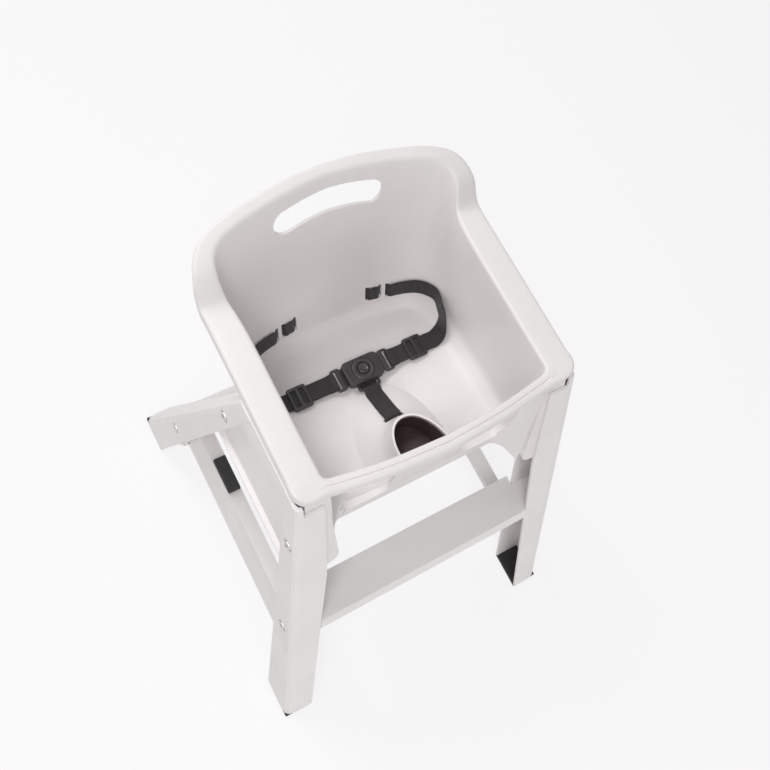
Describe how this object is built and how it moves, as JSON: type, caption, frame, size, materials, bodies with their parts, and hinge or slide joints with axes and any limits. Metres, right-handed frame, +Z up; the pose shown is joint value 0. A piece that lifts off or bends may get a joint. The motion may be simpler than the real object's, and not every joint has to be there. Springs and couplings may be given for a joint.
{
  "type": "high chair",
  "caption": "Stackable high chair: moulded seat tub with leg openings and a hollow pommel on two splayed side frames, with a footrest and a three-point harness.",
  "frame": {"origin": "on the floor, in the middle of the footprint", "axes": "+Z up, -Y towards the front of the chair, +X to the right as seen from the front"},
  "size_m": [0.5334, 0.6004, 0.7397],
  "materials": {
    "tub": "fine-grained moulded polypropylene, off-white",
    "frame": "moulded polypropylene, off-white",
    "rubber": "black moulded rubber",
    "webbing": "black woven nylon webbing",
    "buckle": "black moulded plastic",
    "steel": "zinc-plated steel",
    "spring": "bright spring wire"
  },
  "bodies": {
    "chair": {"seat_shell": "tub", "side_frame_right": "frame", "side_rail_right": "frame", "stack_pad_right": "rubber", "foot_pad_front_right": "rubber", "foot_pad_rear_right": "rubber", "bolt_front_upper_right": "steel", "bolt_rear_upper_right": "steel", "bolt_footrest_right": "steel", "bolt_crossbar_right": "steel", "bolt_front_rail_right": "steel", "bolt_rear_rail_right": "steel", "waist_strap_right": "webbing", "side_frame_left": "frame", "side_rail_left": "frame", "stack_pad_left": "rubber", "foot_pad_front_left": "rubber", "foot_pad_rear_left": "rubber", "bolt_front_upper_left": "steel", "bolt_rear_upper_left": "steel", "bolt_footrest_left": "steel", "bolt_crossbar_left": "steel", "bolt_front_rail_left": "steel", "bolt_rear_rail_left": "steel", "waist_strap_left": "webbing", "footrest": "frame", "rear_crossbar": "frame", "crotch_strap": "webbing", "buckle_base": "buckle", "buckle_cover": "buckle", "button_spring": "spring"},
    "button": {"button": "buckle"},
    "tongue_right": {"tongue_right": "buckle"},
    "tongue_left": {"tongue_left": "buckle"},
    "slider_right": {"slider_right": "buckle"},
    "slider_left": {"slider_left": "buckle"}
  },
  "joints": [
    {"name": "button_press", "type": "slide", "parent": "chair", "child": "button", "axis": [0, 0, -1], "range_m": [0, 0.003], "stiffness_N_per_m": 300, "springref_m": -0.002, "deforming": ["button_spring"]},
    {"name": "tongue_right_release", "type": "slide", "parent": "chair", "child": "tongue_right", "axis": [1, 0, 0], "range_m": [0, 0.014], "deforming": ["waist_strap_right"]},
    {"name": "tongue_left_release", "type": "slide", "parent": "chair", "child": "tongue_left", "axis": [-1, 0, 0], "range_m": [0, 0.014], "deforming": ["waist_strap_left"]},
    {"name": "slider_right_adjust", "type": "slide", "parent": "chair", "child": "slider_right", "axis": [1, 0, 0], "range_m": [-0.01, 0.017]},
    {"name": "slider_left_adjust", "type": "slide", "parent": "chair", "child": "slider_left", "axis": [-1, 0, 0], "range_m": [-0.022, 0.005]}
  ]
}
